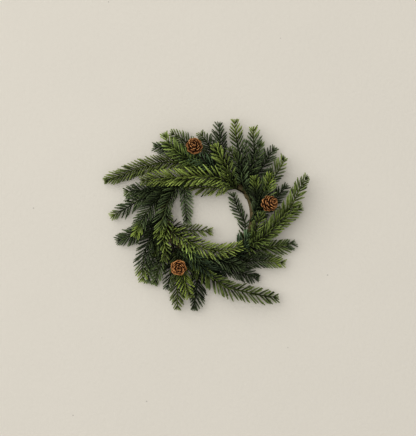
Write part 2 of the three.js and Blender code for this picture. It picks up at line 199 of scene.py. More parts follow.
def tubeFaces(stations, sides):
    # the faces between one ring of points and the next, and those that close both ends
    ring = np.arange(sides)
    nextOne = (ring + 1) % sides
    start = np.arange(stations - 1)[:, None] * sides
    quads = np.stack([start + ring, start + nextOne, start + sides + nextOne, start + sides + ring], -1)
    last = (stations - 1) * sides
    return [*quads.reshape(-1, 4).tolist(), ring[::-1].tolist(), (last + ring).tolist()]


def tube(route, at, radius, sides):
    # points round a route, and their faces. radius: for each station and side, or one for each station
    point, _, across, over = route.frames(at)
    angle = np.arange(sides)[:, None] / sides * 2 * np.pi
    out = across[:, None] * np.cos(angle) + over[:, None] * np.sin(angle)
    points = (point[:, None] + out * radius[..., None]).reshape(-1, 3)
    return points, tubeFaces(len(at), sides)


def joined(parts):
    # one list of points and one of faces from several
    points, faces, start = [], [], 0
    for morePoints, moreFaces in parts:
        points.append(morePoints)
        faces += [[corner + start for corner in face] for face in moreFaces]
        start += len(morePoints)
    return np.vstack(points), faces


def makePiece(name, points, faces, material, smoothFaces=True, tones=None):
    mesh = bpy.data.meshes.new(name)
    mesh.from_pydata((np.asarray(points) * mm).tolist(), [], faces)
    flags = np.broadcast_to(smoothFaces, len(faces)).tolist()
    mesh.polygons.foreach_set("use_smooth", flags)
    if tones is not None:
        layer = mesh.attributes.new("tone", "FLOAT_COLOR", "POINT")
        layer.data.foreach_set("color", np.asarray(tones, np.float32).ravel())
    mesh.materials.append(material)
    mesh.update()
    piece = bpy.data.objects.new(name, mesh)
    bpy.context.scene.collection.objects.link(piece)
    return piece


def dress(piece, slot, *nodes):
    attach(piece, "root")
    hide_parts(*nodes)


# Camera: straight above, with pixel millimetres to a pixel at the height of the upper sprays

viewpoint = dict(aim=(4, -4), height=20, pixel=1.3333, frame=436, lens=85, sensor=36, farthest=20000)


def setCamera():
    lens = bpy.data.cameras.new("camera")
    lens.lens = viewpoint["lens"]
    lens.sensor_fit = "VERTICAL"
    lens.sensor_height = viewpoint["sensor"]
    lens.clip_end = viewpoint["farthest"] * mm
    camera = bpy.data.objects.new("camera", lens)
    seen = viewpoint["frame"] * viewpoint["pixel"]
    distance = seen * viewpoint["lens"] / viewpoint["sensor"]
    camera.location = [v * mm for v in (*viewpoint["aim"], viewpoint["height"] + distance)]
    bpy.context.scene.collection.objects.link(camera)
    bpy.context.scene.camera = camera


setCamera()


# Light, in metres: a wide soft source from the upper left, a weaker one from above, and a pale room

lighting = dict(
    keyFrom=(-3.6, 2.25, 4.5), keySize=9, keyPower=266, topFrom=(0.2, 0.1, 6), topSize=2.4, topPower=84,
    lampColour=(1.0, 0.985, 0.97), roomColour=(1.0, 0.99, 0.97), roomStrength=0.30,
    view="Standard", look="High Contrast",
)


def setLamp(name):
    light = bpy.data.lights.new(name, "AREA")
    light.shape = "DISK"
    light.size = lighting[name + "Size"]
    light.energy = lighting[name + "Power"]
    light.color = lighting["lampColour"]
    lamp = bpy.data.objects.new(name, light)
    lamp.location = lighting[name + "From"]
    lamp.rotation_euler = (-lamp.location).to_track_quat("-Z", "Y").to_euler()
    bpy.context.scene.collection.objects.link(lamp)


def setLight():
    setLamp("key")
    setLamp("top")
    world = bpy.data.worlds.new("room")
    world.use_nodes = True
    background = world.node_tree.nodes["Background"]
    background.inputs["Color"].default_value = (*lighting["roomColour"], 1)
    background.inputs["Strength"].default_value = lighting["roomStrength"]
    scene = bpy.context.scene
    scene.world = world
    scene.view_settings.view_transform = lighting["view"]
    scene.view_settings.look = lighting["look"]


setLight()


# Floor: pale warm plaster. clouds and grain are a noise's scale and detail, and depths are in metres

plaster = dict(
    size=16000, colour=(0.598, 0.574, 0.522), roughness=0.9, shine=0.2, clouds=(7, 4), grain=(220, 5),
    blotch=0.035, speckScale=26, speckSize=0.035, speckCore=0.5, speckDarkness=0.25, bumpDepth=0.0004,
)


def makeFloor():
    look = plaster
    finish = Finish("plaster", look["shine"], Roughness=look["roughness"])
    clouds = finish.noise(*look["clouds"])
    grain = finish.noise(*look["grain"])
    near = finish.add("TexVoronoi", None, {"Vector": finish.place(), "Scale": look["speckScale"]})
    speck = 1 - near.ramp(look["speckSize"] * look["speckCore"], look["speckSize"])
    shade = 1 + (clouds - 0.5) * look["blotch"] + (grain - 0.5) * look["blotch"]
    colour = finish.brighten(look["colour"], shade - speck * look["speckDarkness"])
    finish.bump(grain + clouds, look["bumpDepth"])
    half = look["size"] / 2
    corners = [(-half, -half, 0), (half, -half, 0), (half, half, 0), (-half, half, 0)]
    floor = makePiece("floor", corners, [[0, 1, 2, 3]], finish.wear(Base_Color=colour), False)


makeFloor()
print("floor, light and camera set")


# The base ring's size, from the frame

ringSides = 8
ringLow, ringHigh = (np.array(corner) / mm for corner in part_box("base_ring"))
ringMiddle = (ringLow + ringHigh) / 2  # its height here is the section's middle
ringHalf = ringMiddle[2] / math.cos(math.pi / ringSides)
ringRadius = (ringHigh[0] - ringLow[0]) / 2 - ringMiddle[2]


def ringPoint(clock, side, distance):
    out = ringRadius + distance * np.cos(np.radians(side))
    rise = distance * np.sin(np.radians(side))
    turn = np.radians(clock)
    return ringMiddle + np.stack([out * np.cos(turn), out * np.sin(turn), rise + 0 * turn], -1)


# Sprays


def spray(number, tone, clock, side, **growth):
    # clock: the angle at which its stem is bound to the ring; side: on which side of it, in degrees too (0
    # outside, 90 top, 180 towards the hole)
    return dict(name=f"spray_{number:02}", tone=tone, clock=clock, side=side, **growth)


# needles: how long they are; lastNeedles: how long the last ones are; skew: how much longer those on the
# stem's left are; bare: the length at the root without needles; route: the points that the stem passes. At
# shares of the stem's length, spacing is the distance from whorl to whorl, fresh how new the growth is (0 to
# 1), and light a factor on the needles' colour: painted shade below 1, as where a spray lies under others,
# and painted light above 1
sprays = [
    # upper left
    spray(1, "olive", 77, 120, needles=17.5, skew=-0.06, spacing=((0, 3.6), (0.6, 4), (1, 4.6)),
          lastNeedles=8, fresh=((0.2, 0.3), (0.5, 0.5), (0.9, 0.3)),
          light=((0.3, 1.25), (0.6, 0.85), (0.9, 1.1)),
          route=[(0, 59, 12), (-27, 70, 14), (-60, 69.5, 15), (-87, 63, 13), (-113, 53, 10), (-138, 45, 8)]),
    spray(2, "bright", 42, 90, needles=19, skew=-0.07, spacing=((0, 5), (0.6, 4.6), (1, 4.2)),
          fresh=((0.1, 0.5), (0.5, 0.8)), light=((0.1, 1.45), (0.4, 1.35), (0.65, 1.2), (0.95, 0.6)),
          route=[(36, 45, 16), (17, 49, 24), (0, 51, 27), (-27, 49, 28), (-47, 49, 27), (-67, 47, 25),
                 (-87, 45, 22)]),
    spray(3, "olive", 36, 165, bare=4, fresh=((0.2, 0.6), (0.8, 0.8)),
          light=((0.15, 1.8), (0.5, 1.1), (0.9, 0.35)),
          route=[(38, 42, 12), (20, 38.5, 15), (0, 36.5, 17), (-17, 39, 17), (-28, 41, 15)]),
    spray(4, "bright", 24, 130, skew=0.1, bare=4, fresh=((0.2, 0.05), (0.5, 0.35), (0.8, 0.8)),
          light=((0.1, 1), (0.4, 0.8), (0.6, 0.95), (0.9, 1.2)),
          route=[(38, 38, 22), (32, 53, 28), (28, 65, 30), (21, 77, 31), (16, 88, 30), (12, 95, 28)]),
    spray(5, "dark", 96, 10, spacing=((0, 3.6), (0.7, 3.6), (1, 3.2)), fresh=((0.7, 0), (1, 0.1)),
          light=((0.2, 1.2), (0.4, 0.8), (0.65, 1.5), (0.9, 1.1)),
          route=[(-16, 69, 8), (-27, 86, 8), (-47, 89, 9), (-71, 92, 8)]),
    spray(6, "bright", 90, 40, spacing=((0, 4.2), (0.6, 4.4), (1, 6)), fresh=((0.4, 0.05), (0.8, 0.35)),
          light=((0, 1.5), (0.3, 1.2), (0.6, 1.7), (1, 1.25)),
          route=[(-13, 70, 13), (-26, 77, 22), (-40, 87, 25), (-50, 98, 26), (-55, 110, 24)]),
    spray(7, "twoTone", 79, 5, fresh=((0.6, 0.1), (0.95, 0.4)), light=((0, 0.5), (0.5, 1), (0.9, 1.2)),
          route=[(0, 73, 10), (-12, 86, 14), (-25, 97, 15), (-36, 105, 14), (-48, 111, 12)]),
    spray(8, "twoTone", 66, 45, fresh=((0.7, 0.05), (1, 0.45)), light=((0.2, 1.1), (0.6, 0.9)),
          route=[(12, 80, 11), (4, 95, 14), (-3, 105, 14), (-7, 112, 13)]),
    spray(9, "teal", 62, 105, fresh=((0.5, 0), (1, 0.05)), light=((0.2, 0.8), (0.4, 1.1), (0.65, 1.5)),
          route=[(9, 66, 17), (-13, 76, 18), (-36, 77, 17)]),
    # top
    spray(10, "dark", 64, 5, skew=0.12, spacing=((0, 4.3), (0.6, 4.6), (1, 5.6)), fresh=((0.8, 0), (1, 0.1)),
          light=((0.2, 0.6), (0.5, 0.6), (0.9, 1)),
          route=[(25, 73, 7), (21, 89, 9), (20, 107, 9), (18.5, 125.5, 8)]),
    spray(11, "twoTone", 46, 35, needles=15.5, skew=-0.08, spacing=((0, 4.2), (0.5, 4.6), (1, 5.8)),
          fresh=((0.62, 0.05), (0.82, 0.9)), light=((0.6, 1), (0.9, 0.9)),
          route=[(50, 62, 14), (45.5, 86, 16), (42, 103, 16), (39.5, 129.5, 13)]),
    spray(12, "twoTone", 33, 60, skew=-0.12, spacing=((0, 4.2), (0.5, 4.6), (1, 5.8)),
          fresh=((0.8, 0.05), (0.92, 0.8)), light=((0.6, 1), (0.9, 0.95)),
          route=[(57, 53, 16), (65, 76, 18), (65, 100, 18), (64, 119, 15)]),
    spray(13, "twoTone", 24, -10, needles=14, spacing=((0, 5.2),), fresh=((0.6, 0), (1, 0.35)),
          light=((0, 1.25), (0.4, 1.5), (0.9, 1.3)),
          route=[(63, 57, 9), (71, 76, 10), (75, 100, 9)]),
    spray(14, "dark", 20, 38, fresh=((0.7, 0), (1, 0.1)), light=((0.2, 0.8), (0.4, 0.65), (0.7, 1)),
          route=[(67, 49, 9), (79, 67, 10), (87, 81, 10), (95, 92, 9)]),
    spray(15, "twoTone", 6, 40, needles=17.5, skew=0.2, spacing=((0, 4.2), (0.6, 4.8), (1, 6)),
          fresh=((0.6, 0.1), (0.85, 0.6)), light=((0.1, 0.85), (0.4, 1), (0.65, 0.75), (0.9, 0.95)),
          route=[(77, 31, 17), (92, 50, 20), (101, 65, 19), (107, 79, 16)]),
    spray(16, "twoTone", 20, 80, bare=4, fresh=((0.6, 0), (0.9, 0.35)),
          light=((0.2, 1.0), (0.4, 1.7), (0.7, 1), (0.9, 0.8)),
          route=[(51, 40, 18), (47, 60, 22), (37, 80, 23), (32, 91, 22)]),
    spray(17, "twoTone", 344, 110, fresh=((0.72, 0), (0.88, 0.75)),
          light=((0.1, 1.4), (0.4, 1.5), (0.65, 0.5), (0.9, 0.9)),
          route=[(66, 3, 16), (71, 13, 24), (68, 33, 28), (65, 53, 27)]),
    spray(18, "twoTone", 346, 65, fresh=((0.6, 0.15), (0.85, 0.9)), light=((0.4, 1.1), (0.7, 1.4)),
          route=[(76, 13, 14), (83, 33, 20), (88, 57, 22)]),
    spray(19, "dark", 345, 5, needles=15, fresh=((0, 0), (1, 0)), light=((0.5, 0.8), (0.9, 1)),
          route=[(76, 3, 7), (87, 13, 8), (99, 27, 8), (112, 41, 7)]),
    # right
    spray(20, "bright", 310, 90, skew=0.1, bare=16, spacing=((0, 4.4), (0.7, 4.6), (1, 5.4)),
          fresh=((0.2, 0.25), (0.5, 0.45), (0.75, 0.5), (0.95, 0.25)),
          light=((0.1, 0.85), (0.2, 1), (0.4, 1.1), (0.8, 0.88)),
          route=[(60, -41, 15), (76, -31, 24), (89, -19, 27), (101, -5, 28), (112, 9, 28), (121, 25, 26),
                 (129, 40, 23), (138, 53, 20)]),
    spray(21, "twoTone", 318, 30, needles=20, skew=0.2, spacing=((0, 4.3), (0.6, 4.8), (1, 5.6)),
          fresh=((0.2, 0.3), (0.6, 0.7), (0.95, 0.5)), light=((0, 1.7), (0.6, 1.25)),
          route=[(71, -33, 13), (93, -17, 16), (113, -1, 15), (132, 11, 12)]),
    spray(22, "bright", 323, 100, needles=14, bare=4, fresh=((0.3, 0.05), (0.7, 0.5)),
          light=((0.15, 0.5), (0.5, 1.05), (0.9, 0.75)),
          route=[(63, -31, 18), (68, -20, 24), (72, -7, 26), (76, 5, 25)]),
    spray(23, "dark", 326, 175, needles=12.5, skew=0.2, spacing=((0, 4.4),), fresh=((0.5, 0), (1, 0.05)),
          light=((0, 1.15),),
          route=[(54, -11, 5), (47, 3, 7), (42, 15, 8), (36.5, 31, 9)]),
    spray(24, "twoTone", 296, 15, skew=-0.25, spacing=((0, 3.7), (0.6, 4)),
          fresh=((0.3, 0.05), (0.5, 0.4), (0.8, 0.45), (0.93, 0.0)),
          light=((0.1, 0.25), (0.4, 0.35), (0.6, 1.05)),
          route=[(60, -47, 9), (80, -44, 11), (100, -41, 10), (123, -37, 8)]),
    spray(25, "twoTone", 279, 30, spacing=((0, 3.2), (0.7, 4.2)), fresh=((0.66, 0.08), (0.85, 0.8)),
          light=((0.1, 0.35), (0.4, 0.4), (0.7, 0.9), (0.9, 1.15)),
          route=[(47, -63, 12), (67, -61, 13), (87, -62, 12), (109, -65, 9)]),
    spray(26, "dark", 262, 5, needles=19, bare=4, spacing=((0, 3.6), (0.7, 4.3)), lastNeedles=7,
          fresh=((0.5, 0), (1, 0.05)), light=((0.1, 0.2), (0.4, 0.65)),
          route=[(31, -71, 6), (47, -76, 8), (63, -83, 8), (76, -85, 7)]),
    # lower left
    spray(27, "bright", 243, 60, needles=18.5, skew=-0.14, bare=4,
          spacing=((0, 3.0), (0.45, 3.9), (0.7, 6), (1, 7.2)), lastNeedles=10.5,
          fresh=((0.1, 0.25), (0.3, 0.4), (0.6, 0.35), (1, 0.15)),
          light=((0.1, 0.8), (0.3, 0.8), (0.7, 0.75), (0.9, 0.87)),
          route=[(-3, -73, 12), (11, -85, 16), (27, -95, 17), (47, -101, 17), (73, -107, 14),
                 (99, -111, 10)]),
    spray(28, "bright", 190, 110, spacing=((0, 6), (0.4, 5.2), (1, 4.8)), lastNeedles=11,
          fresh=((0.2, 0.7), (0.8, 0.85)), light=((0.1, 1.15), (0.3, 1.15), (0.6, 1), (0.9, 1)),
          route=[(-36, -27, 16), (-20, -36, 22), (-3, -43, 24), (17, -47, 24), (36, -45, 23), (51, -40, 21)]),
    spray(29, "olive", 188, 180, needles=13.5, spacing=((0, 5.4),),
          fresh=((0.3, 0.1), (0.6, 0.35), (0.9, 0.6)), light=((0.2, 0.3), (0.5, 1.15), (0.7, 0.95)),
          route=[(-44, -15, 7), (-27, -20.5, 10), (-9, -21, 12), (11, -22, 12)]),
    spray(30, "dark", 111, 180, needles=13, skew=0.2, spacing=((0, 4.4),), fresh=((0.5, 0), (1, 0.05)),
          light=((0, 1.5), (0.4, 2), (0.9, 1.7)),
          route=[(-29, 40, 6), (-28, 30, 8), (-26, 9, 8), (-25, -13, 8)]),
    spray(31, "twoTone", 116, 100, needles=15.5, skew=-0.3, fresh=((0.78, 0.08), (0.92, 0.75)),
          light=((0.1, 1.8), (0.4, 0.85), (0.65, 1.15), (0.9, 1.1)),
          route=[(-36, 40, 16), (-47, 20, 26), (-53, 1, 28), (-57, -15, 28), (-61, -31, 25)]),
    spray(32, "bright", 165, 90, needles=12, fresh=((0.4, 0.2), (0.7, 0.6)),
          light=((0.1, 1.7), (0.65, 1.6), (0.9, 0.65)),
          route=[(-51, -9, 15), (-55, -33, 20), (-52, -47, 22), (-55, -63, 20)]),
    spray(33, "twoTone", 134, 60, spacing=((0, 3.1),), fresh=((0.78, 0.08), (0.92, 0.9)),
          light=((0.1, 0.85), (0.4, 0.6), (0.65, 0.9), (0.9, 1.05)),
          route=[(-53, 31, 18), (-68, 16, 23), (-80, -1, 24), (-87, -15, 23), (-94, -31, 20)]),
    spray(34, "dark", 124, 15, fresh=((0.88, 0.03), (0.97, 0.7)), light=((0.1, 0.8), (0.4, 2.2), (0.65, 0.8)),
          route=[(-49, 39, 6), (-67, 33, 12), (-87, 33, 13), (-110, 31, 10)]),
    spray(35, "twoTone", 144, -15, spacing=((0, 4.2), (0.6, 4.8), (1, 6)), fresh=((0.85, 0.05), (0.95, 0.7)),
          light=((0.15, 1.1), (0.4, 1.5), (0.65, 1)),
          route=[(-67, 27, 7), (-87, 21, 8), (-103, 11, 8), (-128, -3, 7)]),
    spray(36, "dark", 168, -5, needles=19, spacing=((0, 3.7),), fresh=((0.5, 0.05), (1, 0.1)),
          route=[(-61, -9, 4.5), (-83, -20, 7), (-100, -28, 8), (-121, -35, 7)]),
    spray(37, "twoTone", 175, 55, needles=18, spacing=((0, 3.7), (0.8, 4.3)),
          fresh=((0.76, 0.05), (0.9, 0.75)), light=((0.1, 0.3), (0.4, 0.45), (0.65, 0.75), (0.9, 1.2)),
          route=[(-63, -13, 13), (-74, -33, 16), (-81, -53, 17), (-83, -74, 16), (-84, -91, 13)]),
    spray(38, "twoTone", 192, 30, fresh=((0.5, 0.1), (0.85, 0.35)), light=((0, 0.9),),
          route=[(-60, -27, 9), (-67, -43, 10), (-68, -57, 10)]),
    spray(39, "dark", 205, 5, lastNeedles=7, fresh=((0.2, 0.1), (0.6, 0.3)),
          light=((0.15, 1.3), (0.4, 0.35), (0.65, 1.2)),
          route=[(-52, -40, 7), (-60, -65, 8), (-65, -80, 8), (-69, -97, 7)]),
    spray(40, "dark", 211, 40, spacing=((0, 4.3), (0.6, 5), (1, 6.5)), fresh=((0.5, 0), (1, 0.1)),
          light=((0.4, 0.5), (0.65, 0.3), (0.9, 1)),
          route=[(-40, -55, 11), (-45, -75, 13), (-51, -101, 12)]),
    spray(41, "olive", 220, 70, spacing=((0, 3.8), (0.6, 4.2), (1, 5)), lastNeedles=8.5,
          fresh=((0.4, 0.1), (0.9, 0.5)), light=((0.3, 0.9), (0.65, 0.7), (0.9, 1)),
          route=[(-35, -62, 15), (-36, -82, 17), (-37, -104, 15), (-37, -129, 12)]),
    spray(42, "twoTone", 222, 110, fresh=((0.35, 0), (0.6, 0.95)),
          light=((0.2, 0.7), (0.4, 0.4), (0.6, 0.95), (0.9, 0.9)),
          route=[(-30, -63, 18), (-28, -84, 23), (-23, -100, 24), (-19, -111, 22)]),
    spray(43, "dark", 236, 5, needles=17, skew=0.22, bare=5, spacing=((0, 4.2), (0.6, 4.4), (1, 5.2)),
          fresh=((0.5, 0), (1, 0.05)), light=((0.1, 0.1), (0.4, 0.2), (0.65, 0.8)),
          route=[(-13, -66, 6), (-11, -89, 8), (-13, -111, 8), (-15, -130, 7)]),
    spray(44, "teal", 225, 150, needles=18, lastNeedles=14, fresh=((0.5, 0), (1, 0.1)),
          light=((0.2, 1), (0.5, 0.6), (0.9, 0.3)),
          route=[(-20, -53, 14), (-3, -68, 17.5), (11, -76, 16), (25, -81, 14)]),
    spray(45, "dark", 208, 140, bare=20, spacing=((0, 6), (1, 5)), fresh=((0.5, 0.6), (0.9, 0.2)),
          light=((0.3, 2.3), (0.6, 2.3), (0.9, 0.8)),
          route=[(-29, -40, 14), (-13, -53, 18), (1, -64, 19)]),
    spray(46, "dark", 257, 90, fresh=((0.5, 0), (1, 0.1)), light=((0.35, 1.8), (0.65, 0.8)),
          route=[(13, -57, 12), (33, -64, 15), (55, -71, 16)]),
    spray(47, "teal", 290, 110, needles=19, skew=0.25, bare=16, fresh=((0.5, 0), (1, 0.1)),
          light=((0.2, 0.9), (0.4, 0.4), (0.9, 1.3)),
          route=[(44, -53, 12), (53, -37, 15), (60, -23, 14)]),
    # low ones that fill between the others
    spray(48, "dark", 194, -10, spacing=((0, 4.3), (0.5, 5), (1, 7)), fresh=((0.5, 0), (1, 0.1)),
          light=((0.4, 1), (0.7, 1.5)),
          route=[(-61, -38, 4.5), (-70, -58, 6), (-75, -78, 7), (-77, -93, 7)]),
    spray(49, "dark", 38, 0, needles=11, spacing=((0, 5), (0.5, 6), (1, 8)), lastNeedles=6,
          fresh=((0.5, 0), (1, 0.1)), light=((0.3, 0.8), (0.7, 1.9)),
          route=[(52, 55, 5), (52, 68, 7), (54, 87, 8), (56, 104, 8)]),
    spray(50, "dark", 130, -20, spacing=((0, 4.3), (0.5, 5.5), (1, 9)), fresh=((0.5, 0), (1, 0.1)),
          light=((0.2, 1), (0.4, 2.2), (0.7, 1.5)),
          route=[(-55, 40, 2.2), (-76, 28, 5), (-93, 25, 6), (-108, 23, 6)]),
]

stemForm = dict(rootRadius=1.1, tipRadius=0.6, seatGap=0.5, lead=8, step=1.4, sides=8, knob=0.12, seed=4100)

# lengths, places and leans of needles. own: what isn't shared with the others on the same side of a whorl.
# rings: shares of a needle's length, and its width there
needleForm = dict(
    length=17, tipLength=7.5, lastLength=9.8, taperRun=20, bare=9, stations=200, spareWhorls=3,
    lengths=(0.86, 1.06), ownLength=0.3, widths=(0.88, 1.08), swayAt=0.9, swayTurn=8, swayLean=5, ownLean=1.5,
    lean=((0, 55), (0.3, 45), (0.75, 39), (1, 30)), steepest=70, leastCosine=0.05, straighten=5,
    upperShorter=0.3, upperForward=0.1, flatness=0.68, bow=0.05, sink=0.3,
    rings=((0, 0.5), (0.14, 0.8), (0.5, 1), (0.85, 0.94), (0.97, 0.62)),
    # on the next line, the last two give painted shade to the needles that point downwards: how dark, and how
    # quickly it comes in as they turn down
    freshSwayAt=0.03, freshSway=0.09, underside=0.85, undersideEdge=2,
)

# the needles' rows: angle round the stem (0 left, 90 up), place of the first as a share of the spacing, how
# many spacings from one needle to the next, how far from the stem's end the row stops, and how much its
# needles lean: 0 where those of a whorl line up when seen from above, or a share of what the side ones lean
needleRows = [(2, 0.0, 1, 2, 0), (178, 0.2, 1, 2, 0), (46, 0.05, 1, 4.5, 0), (134, 0.25, 1, 4.5, 0),
              (-40, 0.08, 1, 4.5, 0), (220, 0.28, 1, 4.5, 0), (79, 0.3, 2, 5, 0.7), (101, 1.3, 2, 5, 0.7),
              (268, 0.9, 2, 6, 1)]

# the last needles, at the stem's end: angle round the stem and lean
lastNeedles = [(90, 4), (0, 34), (180, 34), (58, 31), (122, 31), (240, 27), (300, 27)]

# colours of old and fresh growth, the distance from whorl to whorl, and the needles' width
needleLooks = dict(
    dark=dict(slot="needles_dark", spacing=4.3, width=1.5, old=(0.061, 0.078, 0.043),
              fresh=(0.119, 0.156, 0.045)),
    teal=dict(slot="needles_teal", spacing=4.3, width=1.55, old=(0.073, 0.104, 0.062),
              fresh=(0.104, 0.142, 0.055)),
    twoTone=dict(slot="needles_two_tone", spacing=4.2, width=1.5, old=(0.060, 0.079, 0.042),
                 fresh=(0.152, 0.188, 0.045)),
    bright=dict(slot="needles_bright", spacing=5.0, width=1.75, old=(0.074, 0.098, 0.035),
                fresh=(0.166, 0.200, 0.060)),
    olive=dict(slot="needles_olive", spacing=4.3, width=1.5, old=(0.068, 0.087, 0.034),
               fresh=(0.153, 0.181, 0.050)),
)

# how needles keep clear: tested are the shares of a needle that are looked at, and each new try may turn it
# (degrees) and shorten it by that much more. The others are millimetres, and numbers of points
dodge = dict(tries=7, tested=(0.4, 0.7, 1.0), turn=22, shorter=0.09, floor=0.4, clear=0.5, boxMargin=0.3,
             stemStep=4, coneMargin=0.4, coneEnds=1, ringPoints=73, near=4, nearPoints=12)

# the candle's hole, which needles keep out of, as boxes from corner to corner
candleHole = [((-14, -10.5), (22.7, 24)), ((22.7, -20), (31.5, 13))]

# where the ring's inner edge is in sight: clock angles, how far out from its middle, and the spray inside it
ringSeen = dict(clocks=(-4, 47), out=-0.8, inside="spray_23")

cones = [
    dict(name="cone_1", middle=(-14, 91, 35), axis=(-0.06, 0.3, 0.95), width=23, length=23,
         paleness=1.0, clock=80, side=75, route=[(3, 64, 15), (0, 70, 21), (-8, 80, 22)]),
    dict(name="cone_2", middle=(85.3, 15.3, 36), axis=(0.6, 0.22, 0.77), width=22, length=24,
         paleness=1.05, clock=358, side=85, route=[(70, 8.5, 15)]),
    dict(name="cone_3", middle=(-34.7, -69.3, 35.5), axis=(0.05, -0.06, 0.99), width=21.5, length=23,
         paleness=1.2, clock=206, side=92, route=[(-43, -44, 11), (-40, -58, 18)]),
]


def routeFromRing(spec, radius, onward=()):
    seat = ringHalf + stemForm["seatGap"] + radius
    lead = math.degrees(stemForm["lead"] / ringRadius)
    start = ringPoint(spec["clock"], spec["side"], seat)
    end = ringPoint(spec["clock"] + lead, spec["side"], seat)
    return Route([start, end, *spec["route"], *onward])


for spec in sprays:
    spec["stem"] = routeFromRing(spec, stemForm["rootRadius"])
    spec["stemLength"] = spec["stem"].length - needleForm["tipLength"]
for spec in cones:
    spec["axis"] = unit(np.array(spec["axis"]))


# What stands in a needle's way: thick lines, as rows of from, to and radius, with their owners


def obstacleRows():
    rows, owners = [], []

    def add(owner, points, radius):
        for a, b in zip(points, points[1:]):
            rows.append([*a, *b, radius])
            owners.append(owner)

    for spec in sprays:
        at = np.linspace(0, spec["stemLength"], int(spec["stemLength"] / dodge["stemStep"]) + 2)
        add(spec["name"], spec["stem"].point(at), stemForm["rootRadius"])
    for spec in cones:
        reach = spec["axis"] * ((spec["length"] - spec["width"]) / 2 + dodge["coneEnds"])
        ends = [spec["middle"] - reach, spec["middle"] + reach]
        add(spec["name"], ends, spec["width"] / 2 + dodge["coneMargin"])
    clocks = np.linspace(0, 360, dodge["ringPoints"])
    add("base_ring", [ringPoint(clock, 0, 0) for clock in clocks], ringHalf)
    return np.array(rows), np.array(owners)


obstacles, obstacleOwners = obstacleRows()


def distances(points, rows):
    # how far each point is from the surface of each thick line
    start, end, radius = rows[:, :3], rows[:, 3:6], rows[:, 6]
    way = end - start
    squared = np.maximum((way * way).sum(1), 1e-9)  # never 0, so that it can divide
    share = np.einsum("pok,ok->po", points[:, None] - start, way) / squared
    foot = start + way * np.clip(share, 0, 1)[..., None]
    return np.linalg.norm(points[:, None] - foot, axis=2) - radius


def overSeenRing(points):
    x, y = (points - ringMiddle)[:, :2].T
    clock = np.degrees(np.arctan2(y, x))
    inside = np.hypot(x, y) < ringRadius + ringSeen["out"]
    return inside & (clock > ringSeen["clocks"][0]) & (clock < ringSeen["clocks"][1])


def blocked(centres, rows, ringToo):
    # which needles, given by points along them, run into something, or leave the frame's box
    points = centres.reshape(-1, 3)
    low, high = (np.array(corner) / mm for corner in cadBox)
    bad = (points < low + dodge["boxMargin"]).any(1) | (points > high - dodge["boxMargin"]).any(1)
    bad |= points[:, 2] < dodge["floor"]
    for lowCorner, highCorner in candleHole:
        bad |= ((points[:, :2] > lowCorner) & (points[:, :2] < highCorner)).all(1)
    if ringToo:
        bad |= overSeenRing(points)
    if len(rows):
        bad |= (distances(points, rows) < dodge["clear"]).any(1)
    return bad.reshape(centres.shape[:2]).any(1)


def needlePlaces(spec, rng):
    # each needle's place along the stem, its angle round it, how it leans (as in needleRows), and its three
    # sways, which it shares with the others on its side of the whorl
    form = needleForm
    length = spec["stemLength"]
    stations = np.linspace(spec.get("bare", form["bare"]), length, form["stations"])
    spacing = spec.get("spacing", ((0, needleLooks[spec["tone"]]["spacing"]),))
    spacing = profile(spacing, stations / length)
    whorl = np.concatenate([[0], np.cumsum(np.diff(stations) / spacing[1:])])  # counted from the first
    together = rng.uniform(-1, 1, (int(whorl[-1]) + form["spareWhorls"], 2, 3))
    rows = []
    for turn, first, stride, stop, leaning in needleRows:
        steps = np.arange(first, np.interp(length - stop, stations, whorl), stride)
        shared = together[steps.astype(int), int(math.cos(math.radians(turn)) < 0)]
        one = np.ones(len(steps))
        rows.append([np.interp(steps, whorl, stations), one * turn, one * leaning, *shared.T])
    return np.concatenate(rows, 1)


def stemRadii(at, length):
    return np.interp(at, [0, length], [stemForm["rootRadius"], stemForm["tipRadius"]])


